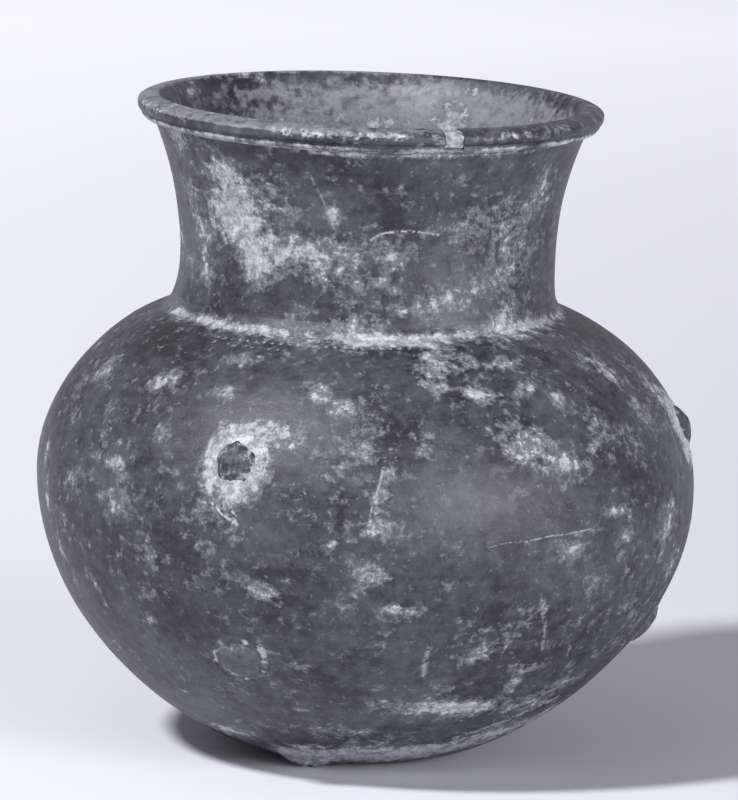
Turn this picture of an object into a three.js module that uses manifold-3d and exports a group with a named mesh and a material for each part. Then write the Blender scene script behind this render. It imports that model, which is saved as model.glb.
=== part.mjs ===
// A round burnished pottery jar, built as it was luted together: base, bowl, shoulder, neck and
// rolled lip, with six studs set in pale bedding round the body. Millimetres, +Z up, origin at the
// centre of the base. The front of the jar faces -Y.
import * as THREE from "three";
import { mergeVertices } from "three/addons/utils/BufferGeometryUtils.js";
import Module from "manifold-3d";

// Heights on the outside, each measured from the one below it
const bellyZ = 88;
const shoulderHeight = 54.7;
const waistRise = 17.9;
const flareHeight = 41;
const lipRollHeight = 5.4;
const lipTopRise = 2.5;
const seamZ = bellyZ + shoulderHeight;
const waistZ = seamZ + waistRise;
const lipSeatZ = waistZ + flareHeight;
const lipWidestZ = lipSeatZ + lipRollHeight;
const rimZ = lipWidestZ + lipTopRise;

// Radii on the outside: the foot, the belly and the waist, and what spreads from the waist
const footRadius = 27.5;
const bellyRadius = 105;
const waistRadius = 59.7;
const neckFootSpread = 3;
const neckFlare = 9.1;
const lipOverhang = 5.4;
const lipTopWidth = 6.3;
const seamRadius = waistRadius + neckFootSpread;
const lipSeatRadius = waistRadius + neckFlare;
const lipRadius = lipSeatRadius + lipOverhang;
const crestRadius = lipRadius - lipTopWidth;

// How full the bowl and the shoulder are, and how fast the neck and the mouth turn outward
const bowlFullness = 0.7;
const shoulderFullness = 0.726;
const filletPower = 3;
const mouthPower = 3;

// Walls, floor and fillet
const bodyWall = 7;
const neckWall = 5.6;
const footRim = 3.5;
const floorRadius = footRadius - footRim;
const filletHeight = 4.2;
const filletDepth = 2;

// Clearance between pieces that touch
const gap = 0.3;

// Plaster fill in the lip, an angle measured from the front, turning to the right
const fillTurn = 20.9;
const fillWidth = 6.4;
const fillDepth = 6;

// Studs: a domed head on a shank, in a ring of bedding, in a blind pit in the wall
const studCount = 3;
const pitDepth = 4;
const shankRadius = 3;
const beddingProud = 0.6;
const upperStud = { z: 108, turn: -23.2, step: 109.2, head: 6.6, dome: 1.9, bedding: 9.2 };
const lowerStud = { z: 44, turn: -24.6, step: 106.5, head: 7.2, dome: 1.1, bedding: 8.8 };

// Facets
const wallFacets = 48;
const studFacets = 16;
const bowlSteps = 11;
const shoulderSteps = 8;
const neckSteps = 7;
const lipSteps = 4;
const filletSteps = 2;
const domeSteps = 4;

const clay = { color: 0x474c54, roughness: 0.42, metalness: 0 };
const paleBedding = { color: 0xc6cad2, roughness: 0.9, metalness: 0 };
const plaster = { color: 0xdcdcd8, roughness: 0.95, metalness: 0 };
const bronze = { color: 0x3a3f45, roughness: 0.5, metalness: 0.6 };

const wasm = await Module();
wasm.setup();
const group = new THREE.Group();
const axisZ = new THREE.Vector3(0, 0, 1);

// The outside of the bowl: a part of a rounded curve that grows from the foot to the belly
function bowlRadius(z) {
  const down = 1 - z / bellyZ;
  return footRadius + (bellyRadius - footRadius) * (1 - down * down) ** bowlFullness;
}

// The outside of the shoulder: from the belly in to the seam, steep at first and nearly flat there
function shoulderRadius(z) {
  const up = (z - bellyZ) / (seamZ - bellyZ);
  return seamRadius + (bellyRadius - seamRadius) * (1 - up * up) ** shoulderFullness;
}

// The outside of the neck: a fillet out of the seam, a waist, and a flare to the lip
function neckRadius(z) {
  if (z < waistZ) {
    const below = (waistZ - z) / (waistZ - seamZ);
    return waistRadius + (seamRadius - waistRadius) * below ** filletPower;
  }
  const above = (z - waistZ) / (lipSeatZ - waistZ);
  return waistRadius + (lipSeatRadius - waistRadius) * above * above;
}

function bodyRadius(z) {
  return z < bellyZ ? bowlRadius(z) : shoulderRadius(z);
}

// Evenly turned heights: close together where the curve leaves the vertical
function curveHeights(from, to, steps, easeStart, easeEnd) {
  const heights = [];
  for (let i = 0; i <= steps; i += 1) {
    const t = i / steps;
    let eased = t;
    if (easeStart) eased = 1 - Math.cos((t * Math.PI) / 2);
    if (easeEnd) eased = Math.sin((t * Math.PI) / 2);
    heights.push(from + (to - from) * eased);
  }
  return heights;
}

// The slope of a profile, as the unit vector that points out of the wall at height z
function outward(radiusAt, z) {
  const step = 0.2;
  const slope = (radiusAt(z + step) - radiusAt(z - step)) / (2 * step);
  return new THREE.Vector2(1, -slope).normalize();
}

// Points at one wall's thickness inside the profile
function innerPoints(radiusAt, heights, wall) {
  return heights.map((z) => {
    const out = outward(radiusAt, z);
    return new THREE.Vector2(radiusAt(z) - wall * out.x, z - wall * out.y);
  });
}

function outerPoints(radiusAt, heights) {
  return heights.map((z) => new THREE.Vector2(radiusAt(z), z));
}

// Turns a closed outline, listed anticlockwise in radius and height, about the upright axis
function lathe(outline, facets) {
  const geometry = new THREE.LatheGeometry([...outline, outline[0]], facets);
  geometry.rotateX(Math.PI / 2);
  geometry.scale(1, -1, 1);
  return closed(geometry);
}

// A solid from a closed geometry, turned the right way out
function closed(geometry) {
  const plain = geometry.clone();
  plain.deleteAttribute("normal");
  plain.deleteAttribute("uv");
  const merged = mergeVertices(plain, 1e-4);
  const corners = [...merged.index.array];
  const point = merged.attributes.position;
  const triangles = [];
  let volume = 0;
  const a = new THREE.Vector3();
  const b = new THREE.Vector3();
  const c = new THREE.Vector3();
  for (let i = 0; i < corners.length; i += 3) {
    const [p, q, r] = corners.slice(i, i + 3);
    if (p === q || q === r || r === p) continue;
    triangles.push(p, q, r);
    a.fromBufferAttribute(point, p);
    b.fromBufferAttribute(point, q);
    c.fromBufferAttribute(point, r);
    volume += a.dot(b.cross(c)) / 6;
  }
  if (volume < 0) triangles.reverse();
  return new wasm.Manifold(new wasm.Mesh({
    numProp: 3,
    vertProperties: new Float32Array(point.array),
    triVerts: new Uint32Array(triangles),
  }));
}

function addPiece(name, solid, finish) {
  const mesh = solid.getMesh();
  const geometry = new THREE.BufferGeometry();
  geometry.setAttribute("position", new THREE.BufferAttribute(mesh.vertProperties, 3));
  geometry.setIndex(new THREE.BufferAttribute(mesh.triVerts, 1));
  geometry.computeVertexNormals();
  const piece = new THREE.Mesh(geometry, new THREE.MeshStandardMaterial(finish));
  piece.name = name;
  group.add(piece);
  return piece;
}

// Where a stud sits on the body: the point on the surface and the way that it faces
function seatOf(stud, index) {
  const turn = THREE.MathUtils.degToRad(stud.turn + stud.step * index);
  const out = outward(bodyRadius, stud.z);
  const radius = bodyRadius(stud.z);
  const across = new THREE.Vector3(Math.sin(turn), -Math.cos(turn), 0);
  const point = across.clone().multiplyScalar(radius).setZ(stud.z);
  const normal = across.clone().multiplyScalar(out.x).setZ(out.y);
  const turned = new THREE.Quaternion().setFromUnitVectors(axisZ, normal);
  return new THREE.Matrix4().compose(point, turned, new THREE.Vector3(1, 1, 1));
}

function seated(outline, stud, index) {
  const geometry = new THREE.LatheGeometry(outline, studFacets);
  geometry.rotateX(Math.PI / 2);
  geometry.scale(1, -1, 1);
  geometry.applyMatrix4(seatOf(stud, index));
  return closed(geometry);
}

// The blind pit that takes a stud and its bedding
function pit(stud, index) {
  const clear = stud.bedding + bodyWall;
  return seated([
    new THREE.Vector2(0, -pitDepth),
    new THREE.Vector2(stud.bedding + gap, -pitDepth),
    new THREE.Vector2(stud.bedding + gap, clear),
    new THREE.Vector2(0, clear),
  ], stud, index);
}

// The ring of bedding round a shank, with a sloping shoulder that fades into the wall
function bedding(stud, index) {
  const bore = shankRadius + gap;
  const bottom = gap - pitDepth;
  return seated([
    new THREE.Vector2(bore, bottom),
    new THREE.Vector2(stud.bedding, bottom),
    new THREE.Vector2(stud.bedding, -beddingProud),
    new THREE.Vector2(stud.bedding - 2 * beddingProud, beddingProud),
    new THREE.Vector2(bore, beddingProud),
    new THREE.Vector2(bore, bottom),
  ], stud, index);
}

// A stud: its shank in the bedding and its domed head standing on it
function studPiece(stud, index) {
  const underHead = beddingProud + gap;
  const outline = [
    new THREE.Vector2(0, 2 * gap - pitDepth),
    new THREE.Vector2(shankRadius, 2 * gap - pitDepth),
    new THREE.Vector2(shankRadius, underHead),
  ];
  for (let i = 0; i <= domeSteps; i += 1) {
    const lift = (i / domeSteps) * (Math.PI / 2);
    const radius = i === domeSteps ? 0 : stud.head * Math.cos(lift);
    outline.push(new THREE.Vector2(radius, underHead + stud.dome * Math.sin(lift)));
  }
  return seated(outline, stud, index);
}

// Base: the round pad that the bowl was raised on, and the flat that the jar stands on
function baseDisc() {
  return lathe([
    new THREE.Vector2(0, 0),
    new THREE.Vector2(floorRadius, 0),
    new THREE.Vector2(floorRadius, bodyWall),
    new THREE.Vector2(0, bodyWall),
  ], wallFacets);
}

// Bowl: from the foot to the belly, open in the middle for the base
function lowerBowl() {
  const heights = curveHeights(0, bellyZ, bowlSteps, true, false);
  const inner = innerPoints(bowlRadius, heights.slice(1), bodyWall);
  inner[inner.length - 1].set(bellyRadius - bodyWall, bellyZ);
  return lathe([
    new THREE.Vector2(floorRadius + gap, 0),
    ...outerPoints(bowlRadius, heights),
    ...inner.reverse(),
    new THREE.Vector2(floorRadius + gap, bodyWall),
  ], wallFacets);
}

// Radius of the neck's stepped foot, which leaves a rebate for the pale fillet
const neckFootRadius = neckRadius(seamZ + filletHeight) - filletDepth;
const openingRadius = neckFootRadius - neckWall;

// Shoulder: from the belly in to a flat ring that carries the neck
function shoulderWall() {
  const heights = curveHeights(bellyZ, seamZ, shoulderSteps, false, true);
  const inner = innerPoints(shoulderRadius, heights.slice(1, -1), bodyWall);
  return lathe([
    new THREE.Vector2(bellyRadius - bodyWall, bellyZ),
    ...outerPoints(shoulderRadius, heights),
    new THREE.Vector2(openingRadius, seamZ),
    new THREE.Vector2(openingRadius, seamZ - bodyWall),
    ...inner.reverse(),
  ], wallFacets);
}

// Neck: a concave collar that stands on the shoulder and carries the lip
function neckCollar() {
  const heights = curveHeights(seamZ + filletHeight, lipSeatZ, neckSteps, false, false);
  const outer = outerPoints(neckRadius, heights);
  const inner = outer.map((point) => new THREE.Vector2(point.x - neckWall, point.y));
  return lathe([
    new THREE.Vector2(openingRadius, seamZ),
    new THREE.Vector2(neckFootRadius, seamZ),
    new THREE.Vector2(neckFootRadius, seamZ + filletHeight),
    ...outer,
    ...inner.reverse(),
  ], wallFacets);
}

// The pale fillet that fills the rebate round the foot of the neck, flush with it
function neckFillet() {
  const top = seamZ + filletHeight - gap;
  const heights = curveHeights(seamZ, top, filletSteps, false, false);
  const inside = neckFootRadius + gap;
  return lathe([
    new THREE.Vector2(inside, seamZ),
    ...outerPoints(neckRadius, heights),
    new THREE.Vector2(inside, top),
  ], wallFacets);
}

// Lip: a rolled ring. Its top slopes down from the crest to its widest edge. Inside, it carries on
// the neck's slope and then turns outward to the crest
function wholeLip() {
  const mouth = lipSeatRadius - neckWall;
  const neckSlope = (2 * neckFlare) / flareHeight;
  const straight = neckSlope * (rimZ - lipSeatZ);
  const outline = [new THREE.Vector2(mouth, lipSeatZ), new THREE.Vector2(lipSeatRadius, lipSeatZ)];
  for (let i = 1; i <= lipSteps; i += 1) {
    const turn = (i / lipSteps) * (Math.PI / 2);
    const radius = lipSeatRadius + (lipRadius - lipSeatRadius) * Math.sin(turn);
    outline.push(new THREE.Vector2(radius, lipWidestZ - (lipWidestZ - lipSeatZ) * Math.cos(turn)));
  }
  for (let i = 1; i <= lipSteps; i += 1) {
    const turn = (i / lipSteps) * (Math.PI / 2);
    const radius = crestRadius + (lipRadius - crestRadius) * Math.cos(turn);
    outline.push(new THREE.Vector2(radius, lipWidestZ + (rimZ - lipWidestZ) * Math.sin(turn)));
  }
  for (let i = lipSteps - 1; i > 0; i -= 1) {
    const share = i / lipSteps;
    const radius = mouth + straight * share + (crestRadius - mouth - straight) * share ** mouthPower;
    outline.push(new THREE.Vector2(radius, lipSeatZ + (rimZ - lipSeatZ) * share));
  }
  return lathe(outline, wallFacets);
}

// A block that cuts the broken notch out of the lip, or with a margin shapes its fill
function notchBlock(margin) {
  const deep = fillDepth - margin;
  const geometry = new THREE.BoxGeometry(fillWidth - 2 * margin, lipRadius, 2 * deep);
  geometry.translate(0, -lipRadius, rimZ);
  geometry.rotateZ(THREE.MathUtils.degToRad(fillTurn));
  return closed(geometry);
}

const lip = wholeLip();
let shoulder = shoulderWall();
let bowl = lowerBowl();
for (let i = 0; i < studCount; i += 1) {
  shoulder = shoulder.subtract(pit(upperStud, i));
  bowl = bowl.subtract(pit(lowerStud, i));
}

addPiece("base_disc", baseDisc(), clay);
addPiece("lower_bowl", bowl, clay);
addPiece("shoulder_wall", shoulder, clay);
addPiece("neck_collar", neckCollar(), clay);
addPiece("neck_fillet", neckFillet(), paleBedding);
addPiece("lip_ring", lip.subtract(notchBlock(0)), clay);
addPiece("rim_fill", lip.intersect(notchBlock(gap)), plaster);
for (let i = 0; i < studCount; i += 1) {
  addPiece(`upper_bedding_${i + 1}`, bedding(upperStud, i), paleBedding);
  addPiece(`upper_stud_${i + 1}`, studPiece(upperStud, i), bronze);
  addPiece(`lower_bedding_${i + 1}`, bedding(lowerStud, i), paleBedding);
  addPiece(`lower_stud_${i + 1}`, studPiece(lowerStud, i), bronze);
}

export default group;
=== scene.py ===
# %% [markdown]
# A burnished pottery jar. The real one was raised as a base, a bowl and a shoulder, luted to a waisted
# neck with a rolled lip. Dark domed studs sit in crusty lime bedding round the body, and pale burial
# deposit lies in the low places. The frame gives the true sizes, so each wall here is a finer copy of a
# frame piece: the same outline, with the unevenness, tool marks and chips that a hand-made wall has.

# %% Load the frame
import math

import bmesh
import bpy
import numpy as np
from mathutils import Matrix, Vector, noise


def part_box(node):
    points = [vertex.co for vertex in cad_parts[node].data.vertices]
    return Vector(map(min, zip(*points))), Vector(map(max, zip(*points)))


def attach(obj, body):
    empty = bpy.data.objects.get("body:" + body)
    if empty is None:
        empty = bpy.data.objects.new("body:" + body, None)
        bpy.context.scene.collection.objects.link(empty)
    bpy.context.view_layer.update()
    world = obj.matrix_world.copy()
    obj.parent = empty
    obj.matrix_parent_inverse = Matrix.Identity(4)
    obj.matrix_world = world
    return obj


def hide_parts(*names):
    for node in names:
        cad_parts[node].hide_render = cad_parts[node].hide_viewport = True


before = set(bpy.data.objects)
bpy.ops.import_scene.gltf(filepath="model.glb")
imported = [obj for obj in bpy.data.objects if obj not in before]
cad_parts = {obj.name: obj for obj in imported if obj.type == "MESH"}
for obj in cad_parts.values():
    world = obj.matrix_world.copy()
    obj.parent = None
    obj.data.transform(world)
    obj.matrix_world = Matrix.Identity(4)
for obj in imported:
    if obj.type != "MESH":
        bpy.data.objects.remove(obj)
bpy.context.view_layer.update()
MM = 0.001
print("frame nodes:", len(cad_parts))

# %% [markdown]
# The camera stands where the photographer stood: a long lens, a little above the rim, so that the rim
# shows as a flat ellipse. The jar leans a degree or so in the picture, and a small roll gives that lean.

# %% Camera
frame_height_px = 800
focal_px = 7616
sensor_mm = 36
camera_distance = 2.4
camera_height = 0.5234
aim_first = Vector((0, 0, 0.106))
aim_shift_px = (4.5, 20.0)
roll = 0.0207


def add_camera():
    place = Vector((0, -camera_distance, camera_height))
    forward = (aim_first - place).normalized()
    side = Vector((1, 0, 0))
    up = side.cross(forward)
    right = side * math.cos(roll) + up * math.sin(roll)
    upright = up * math.cos(roll) - side * math.sin(roll)
    forward = forward + right * aim_shift_px[0] / focal_px + upright * aim_shift_px[1] / focal_px
    forward.normalize()
    right = (right - forward * right.dot(forward)).normalized()
    upright = right.cross(forward)
    data = bpy.data.cameras.new("camera")
    data.sensor_width = sensor_mm
    data.lens = focal_px * sensor_mm / frame_height_px
    data.clip_end = 50
    camera = bpy.data.objects.new("camera", data)
    turn = Matrix((right, upright, -forward)).transposed()
    camera.matrix_world = Matrix.Translation(place) @ turn.to_4x4()
    bpy.context.scene.collection.objects.link(camera)
    bpy.context.scene.camera = camera
    return camera


camera = add_camera()
print("lens in mm:", round(camera.data.lens, 1))

# %% [markdown]
# The outline of the jar, in millimetres. Heights and the widest radii come from the frame, and the few
# shape values that a box can't show are the ones that the frame's own solids were made with.

# %% Sizes from the frame
def top_of(node):
    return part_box(node)[1].z / MM


def radius_of(node):
    low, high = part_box(node)
    return (high.x - low.x) / 2 / MM


belly_z = top_of("lower_bowl")
seam_z = top_of("shoulder_wall")
lip_seat_z = top_of("neck_collar")
rim_z = top_of("lip_ring")
belly_radius = radius_of("lower_bowl")
lip_seat_radius = radius_of("neck_collar")
lip_radius = radius_of("lip_ring")
seam_radius = radius_of("neck_fillet")
floor_radius = radius_of("base_disc")

gap = 0.3
fillet_height = top_of("neck_fillet") - seam_z + gap
waist_z = 160.6
lip_widest_z = 207
foot_radius = 27.5
waist_radius = 59.7
crest_radius = 67.9
bowl_fullness = 0.7
shoulder_fullness = 0.726
fillet_power = 3
mouth_power = 3
body_wall = 7
neck_wall = 5.6
fillet_depth = 2
print("belly", round(2 * belly_radius, 1), "mm across, jar", round(rim_z, 1), "mm high")


# %% Outline of the outside
def bowl_radius(z):
    down = 1 - np.clip(z / belly_z, 0, 1)
    return foot_radius + (belly_radius - foot_radius) * (1 - down**2) ** bowl_fullness


def shoulder_radius(z):
    up = np.clip((z - belly_z) / (seam_z - belly_z), 0, 1)
    return seam_radius + (belly_radius - seam_radius) * (1 - up**2) ** shoulder_fullness


def neck_radius(z):
    below = np.clip((waist_z - z) / (waist_z - seam_z), 0, None)
    above = np.clip((z - waist_z) / (lip_seat_z - waist_z), 0, None)
    foot = (seam_radius - waist_radius) * below**fillet_power
    flare = (lip_seat_radius - waist_radius) * above**2
    return waist_radius + foot + flare


def body_radius(z):
    return np.where(z < belly_z, bowl_radius(z), shoulder_radius(z))


def outside_radius(z):
    return np.where(z < seam_z, body_radius(z), neck_radius(z))


def even_points(radius_at, low, high, step):
    """Points along an outline, a fixed step in mm apart on the surface."""
    z = low + (high - low) * (1 - np.cos(np.linspace(0, math.pi, 4000))) / 2
    r = radius_at(z)
    run = np.concatenate([[0], np.cumsum(np.hypot(np.diff(r), np.diff(z)))])
    count = max(3, round(run[-1] / step))
    at = np.linspace(0, run[-1], count + 1)
    return np.stack([np.interp(at, run, r), np.interp(at, run, z)], 1)


def offset_inward(points, wall):
    """The same outline one wall's thickness further in."""
    along = np.gradient(points, axis=0)
    along /= np.linalg.norm(along, axis=1)[:, None]
    out = np.stack([along[:, 1], -along[:, 0]], 1)
    return points - out * wall


print("seam radius", round(float(shoulder_radius(seam_z)), 2))

# %% [markdown]
# No hand-raised wall is true. It swells and dips by half a millimetre over a hand's width, and its skin
# keeps the level lines of the rib and the burnishing stone. One function bends space itself by place, so
# neighbouring pieces still agree where they meet, and the studs ride along with their wall. The axis isn't
# straight either: the photo shows the bowl swinging a millimetre to the right and the top of the shoulder
# as much to the left. The rim was set a degree out of level, and everything above the waist leans with it.

# %% Hand-made unevenness
swell_mm = 0.5
swell_scale_mm = 46
ripple_mm = 0.13
ripple_scale_mm = 12
line_mm = 0.045
line_pitch_mm = 1.6
still_near_seam_mm = 7
still_near_floor_mm = 4
rim_tilt = math.radians(1.0)
sways = [{"z": 66, "reach": 34, "shift": 0.95}, {"z": 142, "reach": 10, "shift": -1.0}]


def field(points, scale, seed, stretch=1.0):
    """Smooth noise, about -1 to 1, at points in mm. A stretch over 1 draws it out round the jar."""
    shift = Vector((seed * 37.1, seed * 11.7, seed * 5.3))
    flat = points / scale
    flat[:, :2] /= stretch
    return np.array([noise.noise(Vector(spot) + shift) for spot in flat.tolist()])


def bend(points):
    """Points moved by the hand-made unevenness of the wall and by the lean of the rim."""
    radius = np.maximum(np.hypot(points[:, 0], points[:, 1]), 1e-6)
    z = points[:, 2]
    step = 0.2
    slope = (body_radius(z + step) - body_radius(z - step)) / (2 * step)
    slope = np.where(z < seam_z, slope, 0)
    length = np.hypot(1, slope)
    amount = swell_mm * field(points, swell_scale_mm, 186)
    amount += ripple_mm * field(points, ripple_scale_mm, 2, 2.0)
    amount += line_mm * field(points, line_pitch_mm, 3, 22.0)
    from_seam = np.hypot(radius - seam_radius, z - seam_z)
    amount *= np.clip(from_seam / still_near_seam_mm, 0, 1) * np.clip(z / still_near_floor_mm, 0, 1)
    moved = points.copy()
    moved[:, :2] += points[:, :2] / radius[:, None] * (amount / length)[:, None]
    moved[:, 2] -= amount * slope / length
    for sway in sways:
        moved[:, 0] += sway["shift"] * np.exp(-(((z - sway["z"]) / sway["reach"]) ** 2))
    share = np.clip((z - waist_z) / (rim_z - waist_z), 0, 1) ** 1.5
    moved[:, 2] -= share * math.tan(rim_tilt) * points[:, 0]
    return moved


# %% [markdown]
# Marks are named places on the real wall: an angle from the front, growing to the right, and a height.
# Round the seam a row of small impressed dots was pricked with a point, about 3 mm apart, and keeps its
# pale filling. They are real pits in the mesh.

# %% Dots
dots_round = 150
dot_radius_mm = 0.62
dot_depth_mm = 0.45
dot_rows = [
    {"radius": 69.2, "from": -42, "to": 14, "fill": 0.85},
    {"radius": 69.2, "from": 96, "to": 318, "fill": 0.3},
    {"radius": 66.6, "from": -16, "to": 10, "fill": 0.7},
    {"radius": 72.0, "from": -36, "to": -20, "fill": 0.55},
    {"radius": 66.6, "from": 150, "to": 205, "fill": 0.35},
]


def angle_of(points):
    return np.degrees(np.arctan2(points[:, 0], -points[:, 1]))


def angle_gap(angle, other):
    return (angle - other + 180) % 360 - 180


def dot_marks(points):
    """How deep each point lies in a dot, and how full of pale silt that dot is, both 0 to 1."""
    angle = angle_of(points)
    radius = np.hypot(points[:, 0], points[:, 1])
    deep = np.zeros(len(points))
    full = np.zeros(len(points))
    pitch = 360 / dots_round
    slope = 1.1
    for row in dot_rows:
        middle = (row["from"] + row["to"]) / 2
        inside = np.abs(angle_gap(angle, middle)) < (row["to"] - row["from"]) / 2
        across = angle_gap(np.round(angle / pitch) * pitch, angle) * math.pi / 180 * row["radius"]
        along = (radius - row["radius"]) * slope
        near = np.clip(1 - (across**2 + along**2) / dot_radius_mm**2, 0, 1)
        near *= inside & (points[:, 2] > belly_z)
        deep = np.maximum(deep, near)
        full = np.maximum(full, near * row["fill"])
    return deep, full


print("dots, about", round(2 * math.pi * dot_rows[0]["radius"] / dots_round, 1), "mm apart")

# %% [markdown]
# The pale deposit isn't paint: it is lime and silt that stayed where the burnish was worn or hollow. Its
# places are named patches, each an angle, a height, a half width and half height in mm and a strength.
# Some are painted light as well: one patch on the neck's foot is a painted highlight, and the crust band
# round the foot is painted paler than it is, as if lit where it faces down into shade. The mesh carries
# only the soft sum of them. The fine ragged edge comes later, from noise in the finish.

# %% Patches of pale deposit, some of them partly painted light
neck_deposit_and_sheen = [
    (-47, 192, 7, 3.5, 0.8), (-42, 184, 10, 8, 0.95), (-39, 175, 8, 8, 0.9), (-37, 163, 5, 6, 0.8),
    (-48, 178, 7, 8, 0.7), (-31, 163, 6, 6, 0.3), (-28, 169, 8, 6, 0.3), (-64, 199.7, 7, 3.5, 1.2),
    (-50, 199, 8, 1.8, 0.6),
    (-61, 168, 6, 5, 0.8), (-58, 157.5, 4, 6, 0.75), (-66, 182, 5, 5, 0.75), (-69.5, 159, 5, 4, 0.7),
    (-79, 165, 6, 8, 0.6), (-64, 174, 4, 3, 0.6), (-10, 181, 3, 3.6, 1.3), (-22, 181, 5, 2, 0.7),
    (-24, 190, 8, 4, 0.35), (-16, 170, 14, 7, 0.42), (-14, 162, 12, 7, 0.42), (-5, 169, 6, 3, 0.5),
    (8, 168, 5, 4, 0.7), (6, 159, 8, 3, 0.45), (38, 179, 11, 10, 0.5), (50, 172, 10, 14, 0.5),
    (26, 176, 10, 3, 0.5), (44, 159, 9, 8, 0.5), (-2, 201, 26, 1.0, 1.0), (-3, 181, 3, 3, 0.4),
    # The last patch here, at 26° and 154 mm, is a painted highlight: it stands for the side panel's sheen on
    # the neck's foot, over a thin real film.
    (38, 201.2, 16, 0.9, 0.9), (58, 190, 9, 12, 0.35), (26, 154, 12, 4, 0.6),
]
seam_patches = [
    (-64, 143.8, 12, 1.4, 0.95), (-44, 143.4, 14, 1.4, 0.95), (-28, 143.2, 10, 1.3, 0.85),
    (-8, 146, 14, 3, 0.3), (4, 142.4, 16, 1.6, 0.8), (20, 142.4, 12, 1.8, 0.85), (38, 144, 8, 3.4, 0.8),
    (47, 146.5, 6, 4, 0.85), (58, 143.4, 10, 1.8, 1.0), (16, 151, 9, 3, 0.5), (78, 143.5, 14, 1.8, 0.7),
]
shoulder_patches = [
    (-67, 126, 5, 4, 0.9), (-47, 127, 4, 2, 0.8), (-43, 129, 4, 2, 0.6), (-30, 136, 8, 1.6, 0.75),
    (-29, 126.6, 3, 2, 0.8), (-10, 129, 6, 3, 0.45), (-5, 125, 8, 3, 0.5), (-8, 141, 20, 1.5, 0.35),
    (16, 137, 4, 3, 0.85), (15, 131, 5, 3, 0.9), (5, 129, 6, 2, 0.5), (24, 129, 4, 2, 0.9),
    (24, 137, 8, 3, 0.45), (36, 135, 8, 2, 0.5), (36, 129, 4, 2.4, 0.75), (42, 125.5, 3.5, 5, 0.95),
    (63, 129, 5, 4, 0.8), (65, 118, 5, 6, 0.8), (58, 133, 5, 3, 0.5), (0, 114, 3, 3, 0.6),
    (-49, 102.4, 3, 1.9, 1.3), (-40, 114, 4, 3, 0.9), (-55, 108, 5, 9, 0.3), (-18, 118, 7, 3, 1.0),
    (-14, 115.5, 6, 4, 0.8), (-5, 110, 7, 5, 0.35), (31, 113, 8, 5, 0.8), (38, 107, 6, 4, 0.75),
    (4, 105, 2, 6, 0.6), (2, 97, 2, 4, 0.4), (80, 118, 8, 10, 0.6), (82, 104, 9, 9, 0.7),
    (-12, 96, 8, 6, 0.3), (50, 112, 9, 6, 0.3), (-60, 92, 6, 6, 0.4), (-48, 93, 7, 6, 0.5),
    (-76, 96, 3, 9, 0.6),
]
bowl_deposit_and_lit_band = [
    (-5.3, 85.6, 1.4, 1.2, 1.3), (2, 90.7, 6, 3.5, 0.7), (1.5, 76, 6, 4, 0.85), (5.5, 64, 6, 2.4, 0.85),
    (-17.5, 68.5, 6, 3.5, 0.8), (38, 81, 7, 3, 0.8), (51, 82, 5, 3, 0.7), (65, 82, 6, 6, 0.75),
    (48, 91, 5, 2.5, 0.5), (14, 73, 7, 3, 0.45), (46, 66, 5, 8, 0.35), (22, 47, 5, 3.2, 0.8),
    (28, 55, 10, 7, 0.3), (56, 56, 6, 8, 0.4), (14, 28.5, 11, 3, 0.95), (24, 28.5, 8, 2.4, 0.95),
    (30, 27, 6, 2, 0.8), (34, 35, 3, 4, 0.7), (43, 26, 12, 4, 0.7), (52, 32, 10, 3, 0.6),
    # The three patches 7 to 9 mm high, from -16° to 29°, are the real pale crust band of the foot, painted
    # paler than it is so that it looks lit where it faces down into shade: partly painted light.
    (-3, 19, 8, 2.6, 0.6), (-20, 18, 14, 4, 0.4), (-16, 7, 12, 4, 1.15), (7, 7, 14, 4, 1.15),
    (29, 9, 12, 4, 1.1), (47, 14, 10, 5, 0.95), (64, 18, 10, 5, 0.8), (-26, 4, 7, 3, 1.3),
    (-45, 12.5, 11, 2.6, 1.05), (-30, 31, 10, 2, 0.35), (-12.5, 43.6, 4, 1.3, 0.8), (-44, 52, 5, 7, 0.3),
    (-73, 83.5, 2.5, 8, 0.9), (-69.5, 70, 2.5, 5, 1.1), (-67, 59.5, 2.5, 6, 0.8), (-57, 58, 3, 7, 0.7),
    (-43, 53.7, 2, 2, 0.7), (-56, 35, 3, 5, 0.6), (-62, 38, 3, 5, 0.6), (-40, 76, 8, 7, 0.25),
    (72, 70, 8, 10, 0.4), (66, 44, 8, 6, 0.4),
]
back_patches = [
    (110, 90, 18, 16, 0.5), (140, 128, 16, 6, 0.6), (150, 170, 14, 10, 0.6), (176, 60, 18, 14, 0.5),
    (198, 112, 10, 9, 0.6), (230, 145, 22, 3, 0.8), (214, 34, 16, 8, 0.6), (248, 96, 14, 10, 0.45),
    (262, 176, 10, 10, 0.5), (128, 20, 22, 6, 0.7), (190, 182, 12, 8, 0.5), (165, 144.5, 50, 3, 0.75),
    (270, 12, 24, 6, 0.7), (110, 145, 20, 3, 0.7), (210, 8, 30, 4, 0.8), (262, 60, 10, 14, 0.35),
    (160, 14, 26, 4, 0.6), (225, 72, 9, 6, 0.5), (135, 60, 9, 6, 0.5), (240, 122, 9, 5, 0.5),
]
patches = neck_deposit_and_sheen + seam_patches + shoulder_patches + bowl_deposit_and_lit_band + back_patches
inside_patches = [
    (153, 194, 6, 7, 1.0), (-143, 194, 12, 2.4, 0.8), (-165, 192, 16, 4, 0.5), (170, 193, 16, 5, 0.6),
    (149, 206, 3, 1.4, 1.1), (-118, 206, 4, 1.4, 0.8), (-160, 203, 16, 3, 0.2), (125, 196, 12, 6, 0.5),
    (100, 200, 7, 5, 0.5), (20, 190, 10, 12, 0.5), (-30, 175, 20, 12, 0.5), (60, 170, 16, 20, 0.5),
]


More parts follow.
